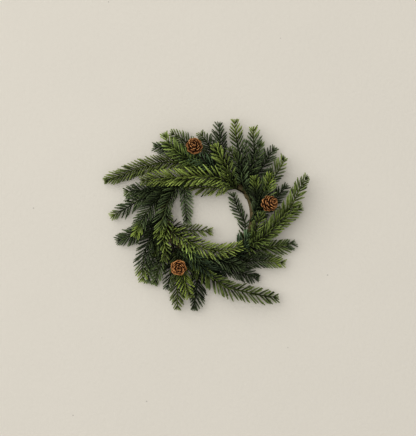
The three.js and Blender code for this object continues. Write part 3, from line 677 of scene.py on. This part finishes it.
def growNeedles(spec, rng):
    # every needle of a spray: its root, its directions and its size
    form = needleForm
    route, length = spec["stem"], spec["stemLength"]
    at, turn, leaning, *shared = needlePlaces(spec, rng)
    last = len(lastNeedles)
    lastTurn, lastLean = np.array(lastNeedles).T
    at = np.append(np.clip(at + shared[0] * form["swayAt"], 0, length), np.full(last, length))
    turn = np.append(turn, lastTurn)
    count = len(at)
    point, along, across, over = route.frames(at)
    stemRadius = stemRadii(at, length)

    lean = profile(form["lean"], at / length)
    cosine = np.maximum(np.abs(np.cos(np.radians(turn))), form["leastCosine"])
    inLine = np.degrees(np.arctan(np.tan(np.radians(lean)) / cosine))
    leaning = np.append(leaning, np.ones(last))
    lean = np.where(leaning == 0, np.minimum(inLine, form["steepest"]), lean * leaning)
    lean[-last:] = lastLean

    turn = np.radians(turn + rng.uniform(-1, 1, count) * form["swayTurn"])
    grown = np.clip((length - at) / form["taperRun"], 0, 1)
    full = spec.get("needles", form["length"])
    shortest = spec.get("lastNeedles", form["lastLength"])
    share = (np.append(shared[1], rng.uniform(-1, 1, last)) + 1) / 2 * (1 - form["ownLength"])
    share = share + rng.uniform(0, form["ownLength"], count)
    reach = (shortest + (full - shortest) * grown) * np.interp(share, [0, 1], form["lengths"])
    reach = reach * (1 + spec.get("skew", 0) * np.cos(turn))
    sway = np.append(shared[2], np.zeros(last)) * form["swayLean"]
    sway = sway + rng.uniform(-1, 1, count) * form["ownLean"]
    bow = rng.uniform(-1, 1, count) * form["bow"]

    def shapes(pick, shift, shorter):
        turned = turn[pick] + shift
        upper = np.clip(np.sin(turned), 0, 1)
        radial = across[pick] * np.cos(turned)[:, None] + over[pick] * np.sin(turned)[:, None]
        forward = 1 - form["upperForward"] * upper
        leanRoot = lean[pick] + sway[pick] + form["straighten"] / 2
        leanEnd = leanRoot - form["straighten"]
        size = reach[pick] * (1 - form["upperShorter"] * upper) * shorter
        root = point[pick] + radial * (stemRadius[pick] - form["sink"])[:, None]
        return dict(root=root, along=along[pick], radial=radial, leanRoot=np.radians(leanRoot * forward),
                    leanEnd=np.radians(leanEnd * forward), reach=size, bow=bow[pick])

    stem = route.point(np.linspace(0, length, dodge["nearPoints"]))
    near = distances(stem, obstacles).min(0) < full + dodge["near"]
    rows = obstacles[near & (obstacleOwners != spec["name"])]
    left = np.arange(count)
    kept = []
    for attempt in range(dodge["tries"]):
        shift = np.radians(rng.uniform(-1, 1, len(left)) * dodge["turn"] * attempt)
        needles = shapes(left, shift, 1 - dodge["shorter"] * attempt)
        centres = centreLine(needles, np.array(dodge["tested"]))
        bad = blocked(centres, rows, spec["name"] != ringSeen["inside"])
        kept.append((left[~bad], {key: value[~bad] for key, value in needles.items()}))
        left = left[bad]
        if not len(left):
            break
    order = np.concatenate([pick for pick, _ in kept])
    needles = {key: np.concatenate([part[key] for _, part in kept]) for key in kept[0][1]}
    needles["position"] = at[order] / length
    # painted shade: how far each needle points down, to darken the lower rows; the last needles get none
    below = np.clip(-np.sin(turn[order]) * form["undersideEdge"], 0, 1)
    needles["below"] = below * (at[order] < length)
    return needles


def centreLine(needles, shares):
    # points along each needle, which leans less and less and bows a little sideways
    a, b = needles["leanRoot"][:, None], needles["leanEnd"][:, None]
    turned = a + (b - a) * shares
    ahead = (np.sin(turned) - np.sin(a)) / (b - a)
    out = (np.cos(a) - np.cos(turned)) / (b - a)
    side = np.cross(needles["along"], needles["radial"])
    reach = needles["reach"][:, None, None]
    return (needles["root"][:, None] + needles["along"][:, None] * (ahead[..., None] * reach)
            + needles["radial"][:, None] * (out[..., None] * reach)
            + side[:, None] * (needles["bow"][:, None] * shares**2)[..., None] * reach)


def needleMesh(needles, rng, spec):
    # each needle: a slim blade of diamond section that ends in a point
    form = needleForm
    shares, widths = np.array(form["rings"]).T
    count, rings = len(needles["reach"]), len(shares)
    centres = centreLine(needles, np.append(shares, 1.0))
    lean = needles["leanRoot"][:, None] + (needles["leanEnd"] - needles["leanRoot"])[:, None] * shares
    inPlane = (needles["radial"][:, None] * np.cos(lean)[..., None]
               - needles["along"][:, None] * np.sin(lean)[..., None])
    side = np.broadcast_to(np.cross(needles["along"], needles["radial"])[:, None], inPlane.shape)
    size = rng.uniform(*form["widths"], count)[:, None, None] * widths[:, None]
    half = needleLooks[spec["tone"]]["width"] / 2
    wide, thick = inPlane * size * half, side * size * half * form["flatness"]
    corners = np.stack([centres[:, :-1] + wide, centres[:, :-1] + thick,
                        centres[:, :-1] - wide, centres[:, :-1] - thick], 2)
    points = np.concatenate([corners.reshape(count, rings * 4, 3), centres[:, -1:]], 1)
    each = rings * 4 + 1
    start = np.arange(count)[:, None, None] * each
    *walls, base, lastRing = tubeFaces(rings, 4)
    tips = [[a, b, each - 1] for a, b in zip(lastRing, lastRing[1:] + lastRing[:1])]
    faces = []
    for kind in (walls, tips, [base]):
        faces += (start + np.array(kind)).reshape(-1, len(kind[0])).tolist()

    place = needles["position"]
    fresh = profile(spec["fresh"], place + rng.normal(0, form["freshSwayAt"], count))
    fresh += rng.normal(0, form["freshSway"], count)
    # the spray's light profile: painted light and painted shade on its needles
    paintedLight = profile(spec.get("light", ((0, 1),)), place)
    # random tone, less painted shade on the needles that point downwards
    chance = rng.uniform(0, 1, count) - form["underside"] * needles["below"]
    tones = np.empty((count, each, 4))
    tones[..., 0] = np.append(np.repeat(shares, 4), 1.0)
    tones[..., 1] = chance[:, None]
    tones[..., 2] = np.clip(fresh, 0, 1)[:, None]
    tones[..., 3] = paintedLight[:, None]
    return points.reshape(-1, 3), faces, tones.reshape(-1, 4)


# The needles' finish

# mottle and grain are a noise's scale and detail. A needle's light is the sum of what chance gives (random
# tone, less painted shade on the needles of the lower rows), painted shade at its root that turns to painted
# light towards its tip (the length term) and the mottle, less shade; it is then scaled by the spray's painted
# light and shade. The stem is brown at its root and green further on
needleShades = dict(
    shine=0.2, roughness=0.40, roughnessVaries=0.14, mottle=(420, 3), grain=(1500, 2), grainDepth=0.00006,
    mottledFresh=0.25, chance=1.2, length=1.55, mottledLight=0.35, shade=0.3, darkest=0.02,
    stem=(0.036, 0.026, 0.012), stemGreen=0.50, stemGreenFrom=(0.1, 0.4), stemEdge=20,
)


def needleFinish(name, look):
    shades = needleShades
    finish = Finish("needles_" + name, shades["shine"])
    along, chance, fresh, paintedLight = finish.tones()  # the spray's painted light and shade on its needles, 0 on the stem
    mottle = finish.noise(*shades["mottle"])
    fresh = (fresh + (mottle - 0.5) * shades["mottledFresh"] * fresh).clipped()
    colour = finish.blend(look["old"], look["fresh"], fresh)
    # chance: random tone with the painted underside shade; along: painted shade at the needle's root, painted
    # light at its tip
    light = chance * shades["chance"] + along * shades["length"] + (mottle - 0.5) * shades["mottledLight"]
    light = ((light - shades["shade"]) * paintedLight).atLeast(shades["darkest"])
    green = finish.brighten(colour, shades["stemGreen"])
    stem = finish.blend(shades["stem"], green, along.ramp(*shades["stemGreenFrom"]))
    colour = finish.blend(stem, finish.brighten(colour, light), (paintedLight * shades["stemEdge"]).clipped())
    finish.bump(finish.noise(*shades["grain"]), shades["grainDepth"])
    roughness = shades["roughness"] + mottle * shades["roughnessVaries"]
    return finish.wear(Base_Color=colour, Roughness=roughness)


needleFinishes = {name: needleFinish(name, look) for name, look in needleLooks.items()}


def makeSpray(index, spec):
    form = stemForm
    rng = np.random.default_rng(form["seed"] + index)
    route, length = spec["stem"], spec["stemLength"]
    at = np.linspace(0, length, int(length / form["step"]))
    knobs = 1 + form["knob"] * rng.uniform(-1, 1, (len(at), form["sides"]))
    stem, stemFaces = tube(route, at, stemRadii(at, length)[:, None] * knobs, form["sides"])
    share = np.repeat(at / length, form["sides"])
    stemTones = np.stack([share, 0 * share, profile(spec["fresh"], share), 0 * share], -1)
    needles = growNeedles(spec, rng)
    blades, bladeFaces, bladeTones = needleMesh(needles, rng, spec)
    points, faces = joined([(stem, stemFaces), (blades, bladeFaces)])
    smoothFaces = [True] * len(stemFaces) + [False] * len(bladeFaces)
    look = needleLooks[spec["tone"]]
    piece = makePiece(spec["name"] + "_twig", points, faces, needleFinishes[spec["tone"]], smoothFaces,
                      np.vstack([stemTones, bladeTones]))
    dress(piece, look["slot"], spec["name"])
    return len(needles["reach"]), len(faces)


made = [makeSpray(index, spec) for index, spec in enumerate(sprays)]
print("sprays:", len(made), "with", sum(m[0] for m in made), "needles,", sum(m[1] for m in made), "faces")


# The base ring: wire wound with paper tape in a spiral, over the ends of the stems that are bound to it

tapeForm = dict(radius=3.3, windings=62, overlap=0.2, stations=930, around=28, seed=77,
                stemRadius=1.3, slope=3.0, slopeEnd=0.3, wrapped=7.2, step=1)

tapeWrinkles = dict(depth=0.08, rough=0.5, first=1.9, round=0.05, second=4.3, shift=2)

tapeLook = dict(
    shine=0.35, roughness=0.5, roughnessVaries=0.3, creases=(900, 4), creaseDepth=0.0003,
    dark=(0.060, 0.048, 0.022), pale=(0.200, 0.168, 0.086), creased=0.9, chance=0.3, shade=0.1,
    edgeWidth=0.14, edgeShade=0.45, acrossLight=0.15,
)


def tapeReach(clock, side):
    # how far out the tape lies, at each clock angle and side: it spans the stem ends
    form = tapeForm
    radius, stem = form["radius"], form["stemRadius"]
    reach = np.full((len(clock), len(side)), radius)
    seat = ringHalf + stemForm["seatGap"] + stemForm["rootRadius"]
    touch = math.acos((radius - stem) / seat)
    narrow = math.degrees(math.atan2(stem * math.sin(touch), seat + stem * math.cos(touch)))
    touch = math.degrees(touch)
    for spec in [*sprays, *cones]:
        off = np.abs((side - spec["side"] + 180) % 360 - 180)
        sine = np.minimum(seat * np.sin(np.radians(off)), stem)
        overStem = seat * np.cos(np.radians(off)) + np.sqrt(stem**2 - sine**2)
        flank = radius / np.cos(np.radians(np.clip(touch - off, 0, touch)))
        hull = np.where(off < narrow, overStem, np.where(off < touch, flank, radius))
        run = ((clock - spec["clock"] + 180) % 360 - 180) * ringRadius * math.pi / 180
        over = smooth(-form["slope"], form["slopeEnd"], run)
        over = over * (1 - smooth(form["wrapped"] - form["step"], form["wrapped"], run))
        reach = np.maximum(reach, radius + (hull - radius) * over[:, None])
    return reach


def tapeFinish():
    look = tapeLook
    finish = Finish("floral_tape", look["shine"])
    across, chance, _, _ = finish.tones()
    creases = finish.noise(*look["creases"])
    pale = (creases * look["creased"] + chance * look["chance"] - look["shade"]).clipped()
    colour = finish.blend(look["dark"], look["pale"], pale)
    edge = 1 - across.ramp(0.0, look["edgeWidth"])
    colour = finish.brighten(colour, 1 - edge * look["edgeShade"] + across * look["acrossLight"])
    finish.bump(creases, look["creaseDepth"])
    return finish.wear(Base_Color=colour, Roughness=look["roughness"] + creases * look["roughnessVaries"])


def makeRing():
    form, wrinkles = tapeForm, tapeWrinkles
    rng = np.random.default_rng(form["seed"])
    clock = np.arange(form["stations"]) / form["stations"] * 360
    side = np.arange(form["around"]) / form["around"] * 360
    winding = clock[:, None] / 360 * form["windings"] + side / 360
    phase = winding % 1  # how far across a winding, from its edge
    wave = np.sin(clock[:, None] * wrinkles["first"] + side * wrinkles["round"])
    wave = wave * np.sin(clock[:, None] * wrinkles["second"] + wrinkles["shift"])
    rough = rng.uniform(-1, 1, wave.shape) * wrinkles["rough"]
    reach = tapeReach(clock, side) + form["overlap"] * (phase - 1) + wrinkles["depth"] * (wave + rough)
    points = ringPoint(clock[:, None], side[None], reach)
    points[..., 2] = np.maximum(points[..., 2], 0)
    here = np.arange(form["stations"] * form["around"]).reshape(reach.shape)
    beside = np.roll(here, -1, 1)
    faces = np.stack([here, np.roll(here, -1, 0), np.roll(beside, -1, 0), beside], -1).reshape(-1, 4).tolist()
    chance = rng.uniform(0, 1, form["windings"] + 2)[np.floor(winding).astype(int)]
    tones = np.stack([phase, chance, 0 * phase, 0 * phase + 1], -1)
    piece = makePiece("tape_wound_ring", points.reshape(-1, 3), faces, tapeFinish(), True,
                      tones.reshape(-1, 4))
    dress(piece, "floral_tape", "base_ring")
    print("ring:", len(faces), "faces")


makeRing()


# Cones: thin woody scales in rows round a core, open at the base and closed at the tip

# a scale widens from its root to its shoulder, is thinner at its lip, and is pale along its rim
coneForm = dict(
    scalesInRow=7, coreShare=0.54, coreSides=28, coreInset=0.97, coreChance=0.3, foot=(-0.42, 0.05),
    peak=(0.38, 0.02), twist=9, swayOpen=9, swayTurn=4, tilt=9, seed=900,
    scaleLength=6.4, lengths=(0.9, 1.06), sink=0.5, across=9, along=9, spread=0.78, spreadAt=0.75,
    widths=(0.94, 1.06), rootWidth=0.42, widens=0.58, shoulder=0.6, bluntest=0.10, arch=0.16, cup=0.3,
    curl=14, thickness=1.3, rootThickness=0.8, thickens=0.2, lip=0.72, sideLip=6, endLip=10,
    paleRim=5, paleSides=(0.4, 0.8), underPale=0.7,
)

# rows: from and to (shares of the length), the core's fullness there, how far the scales open, their size
coneRows = [
    (-0.38, -0.22, 0.62, 0.92, 104, 0.80), (-0.21, -0.07, 0.94, 1.00, 84, 0.98),
    (-0.06, 0.06, 1.00, 0.92, 66, 1.00), (0.07, 0.17, 0.90, 0.76, 49, 0.92),
    (0.18, 0.26, 0.73, 0.55, 32, 0.78), (0.27, 0.33, 0.50, 0.30, 14, 0.62),
]

coneLook = dict(
    core=(0.045, 0.019, 0.009), body=(0.230, 0.098, 0.036), rim=(0.55, 0.31, 0.135), shine=0.3,
    fibre=(1100, 4), fibreDepth=0.0003, bodyAlong=1.5, bodyFrom=0.5, fibreBody=0.5,
    rimLight=0.6, rimChance=0.5, fibreRim=0.3, light=0.8, chance=0.35, roughness=0.55, roughnessVaries=0.25,
)


def scaleMesh(spec, place, turn, rng):
    # one scale as a closed plate with a blunt rim; place: in the spiral, counted in rows
    form = coneForm
    numbers = range(len(coneRows))
    row = [np.interp(place, numbers, column) for column in zip(*coneRows)]
    begin, end, fullBegin, fullEnd, opening, size = row
    coreRadius = spec["width"] / 2 * form["coreShare"]
    opening = math.radians(opening + rng.uniform(-1, 1) * form["swayOpen"])
    turn += math.radians(rng.uniform(-1, 1) * form["swayTurn"])
    tilt = math.radians(rng.uniform(-1, 1) * form["tilt"])
    length = form["scaleLength"] * size * rng.uniform(*form["lengths"])
    height = (begin + end) / 2 * spec["length"]
    rootOut = coreRadius * (fullBegin + fullEnd) / 2 - form["sink"]
    rimRadius = coreRadius * fullEnd + length * math.sin(opening) * form["spreadAt"]
    halfWidth = form["spread"] * math.pi * rimRadius / form["scalesInRow"] * rng.uniform(*form["widths"])

    u = np.linspace(-1, 1, form["across"])[:, None]
    v = np.linspace(0, 1, form["along"])[None]
    pastShoulder = np.clip((v - form["shoulder"]) / (1 - form["shoulder"]), 0, 1)
    roundEnd = np.maximum(np.sqrt(1 - pastShoulder**2), form["bluntest"])
    half = halfWidth * (form["rootWidth"] + form["widens"] * smooth(0.0, form["shoulder"], v)) * roundEnd
    leaning = opening - math.radians(form["curl"]) * v**2
    out = rootOut + length * np.sin(leaning) * v - form["arch"] * u**2 * half * np.sin(opening)
    lifted = form["cup"] * u**2 + math.sin(tilt) * u
    up = height + length * np.cos(leaning) * v + lifted * half * np.sin(opening)
    sideways = u * half * np.ones_like(v)
    lip = np.maximum(np.abs(u) ** form["sideLip"], v ** form["endLip"])
    thick = form["thickness"] * size * (form["rootThickness"] + form["thickens"] * v)
    thick = thick * (1 - (1 - form["lip"]) * lip)
    normalOut, normalUp = -np.cos(leaning), np.sin(leaning)

    def surface(sign):
        o = out + sign * thick / 2 * normalOut
        h = up + sign * thick / 2 * normalUp
        x = o * math.cos(turn) - sideways * math.sin(turn)
        y = -o * math.sin(turn) - sideways * math.cos(turn)
        return np.stack([x, y, h + 0 * x], -1).reshape(-1, 3)

    points = np.vstack([surface(1), surface(-1)])
    m, n = form["across"], form["along"]
    under = m * n  # where the lower surface's points start
    faces = []
    for i in range(m - 1):
        for j in range(n - 1):
            a, b, c, d = i * n + j, (i + 1) * n + j, (i + 1) * n + j + 1, i * n + j + 1
            faces += [[a, b, c, d], [under + a, under + d, under + c, under + b]]
    border = [i * n for i in range(m)] + [(m - 1) * n + j for j in range(1, n)]
    border += [i * n + n - 1 for i in range(m - 2, -1, -1)] + list(range(n - 2, 0, -1))
    for a, b in zip(border, border[1:] + border[:1]):
        faces.append([b, a, under + a, under + b])

    sides = np.abs(u) ** form["paleRim"] * smooth(*form["paleSides"], v)
    edge = np.maximum(sides, v ** form["paleRim"]).ravel()
    upper = np.stack([(v + 0 * u).ravel(), np.full(under, rng.uniform(0, 1)), edge, np.ones(under)], -1)
    return points, faces, np.vstack([upper, upper * [1, 1, form["underPale"], 1]])


def coneFinish():
    look = coneLook
    finish = Finish("cone_scale", look["shine"])
    along, chance, edge, paleness = finish.tones()
    fibre = finish.noise(*look["fibre"])
    body = (along * look["bodyAlong"] - look["bodyFrom"] + (fibre - 0.5) * look["fibreBody"]).clipped()
    colour = finish.blend(look["core"], look["body"], body)
    rim = edge * (look["rimLight"] + chance * look["rimChance"]) + (fibre - 0.5) * look["fibreRim"]
    colour = finish.blend(colour, look["rim"], rim.clipped())
    finish.bump(fibre, look["fibreDepth"])
    colour = finish.brighten(colour, (look["light"] + chance * look["chance"]) * paleness)
    return finish.wear(Base_Color=colour, Roughness=look["roughness"] + fibre * look["roughnessVaries"])


def coreMesh(spec):
    # the core, as rings of points from its foot to its peak
    form = coneForm
    levels = [form["foot"], *[(row[k], row[k + 2]) for row in coneRows for k in (0, 1)], form["peak"]]
    height, full = np.array(levels).T[..., None]
    radius = spec["width"] / 2 * form["coreShare"] * full * form["coreInset"]
    angle = np.arange(form["coreSides"]) / form["coreSides"] * 2 * np.pi
    rings = [radius * np.cos(angle), radius * np.sin(angle), height * spec["length"] + 0 * angle]
    return np.stack(rings, -1).reshape(-1, 3), tubeFaces(len(levels), form["coreSides"])


def makeCone(spec, material, index):
    form = coneForm
    rng = np.random.default_rng(form["seed"] + index)
    core, coreFaces = coreMesh(spec)
    parts = [(core, coreFaces)]
    tones = [np.tile([0, form["coreChance"], 0, 1], (len(core), 1))]
    inRow = form["scalesInRow"]
    turnOn = 360 / inRow + (180 / inRow + form["twist"]) / inRow
    for i in range(len(coneRows) * inRow):
        place = (i - inRow / 2 + 0.5) / inRow
        scale, scaleFaces, tone = scaleMesh(spec, place, math.radians(i * turnOn), rng)
        parts.append((scale, scaleFaces))
        tones.append(tone)
    points, faces = joined(parts)
    tones = np.vstack(tones) * [1, 1, 1, spec["paleness"]]
    axis = spec["axis"]
    side = unit(np.cross([0.0, 1.0, 0.0], axis))
    turned = points @ np.stack([side, np.cross(axis, side), axis])
    piece = makePiece(spec["name"] + "_scales", turned + spec["middle"], faces, material, True, tones)
    dress(piece, "cone_scale", spec["name"])
    print(spec["name"], len(faces), "faces")


coneMaterial = coneFinish()
for index, spec in enumerate(cones):
    makeCone(spec, coneMaterial, index)


# Binding wires: two strands twisted together, from the ring to the foot of each cone

wireForm = dict(reach=0.8, strand=0.42, pitch=3.6, straight=4, gap=0.3, foot=0.42, sides=10, step=0.3,
                perStretch=2)

wireLook = dict(roughness=0.45, shine=0.5, grain=(800, 3), grainDepth=0.00008,
                dark=(0.018, 0.014, 0.009), pale=(0.045, 0.034, 0.020))


def makeWire(spec, material):
    form, axis = wireForm, spec["axis"]
    base = spec["middle"] - axis * (form["foot"] * spec["length"] + form["gap"])
    route = routeFromRing(spec, form["reach"], [base - axis * form["straight"], base])
    at = np.linspace(0, route.length, int(route.length / form["step"]))
    point, _, across, over = route.frames(at)
    strands = []
    for start in (0, math.pi):
        angle = (at / form["pitch"] * 2 * math.pi + start)[:, None]
        offset = (form["reach"] - form["strand"]) * (across * np.cos(angle) + over * np.sin(angle))
        strand = Route(point + offset, form["perStretch"])
        stations = np.linspace(0, strand.length, len(at) * form["perStretch"])
        radius = np.full((len(stations), 1), form["strand"])
        strands.append(tube(strand, stations, radius, form["sides"]))
    piece = makePiece(spec["name"] + "_binding", *joined(strands), material)
    dress(piece, "wire", spec["name"] + "_wire")


def wireFinish():
    look = wireLook
    finish = Finish("binding_wire", look["shine"], Roughness=look["roughness"])
    grain = finish.noise(*look["grain"])
    finish.bump(grain, look["grainDepth"])
    return finish.wear(Base_Color=finish.blend(look["dark"], look["pale"], grain))


wireMaterial = wireFinish()
for spec in cones:
    makeWire(spec, wireMaterial)
print("cones and wires made")
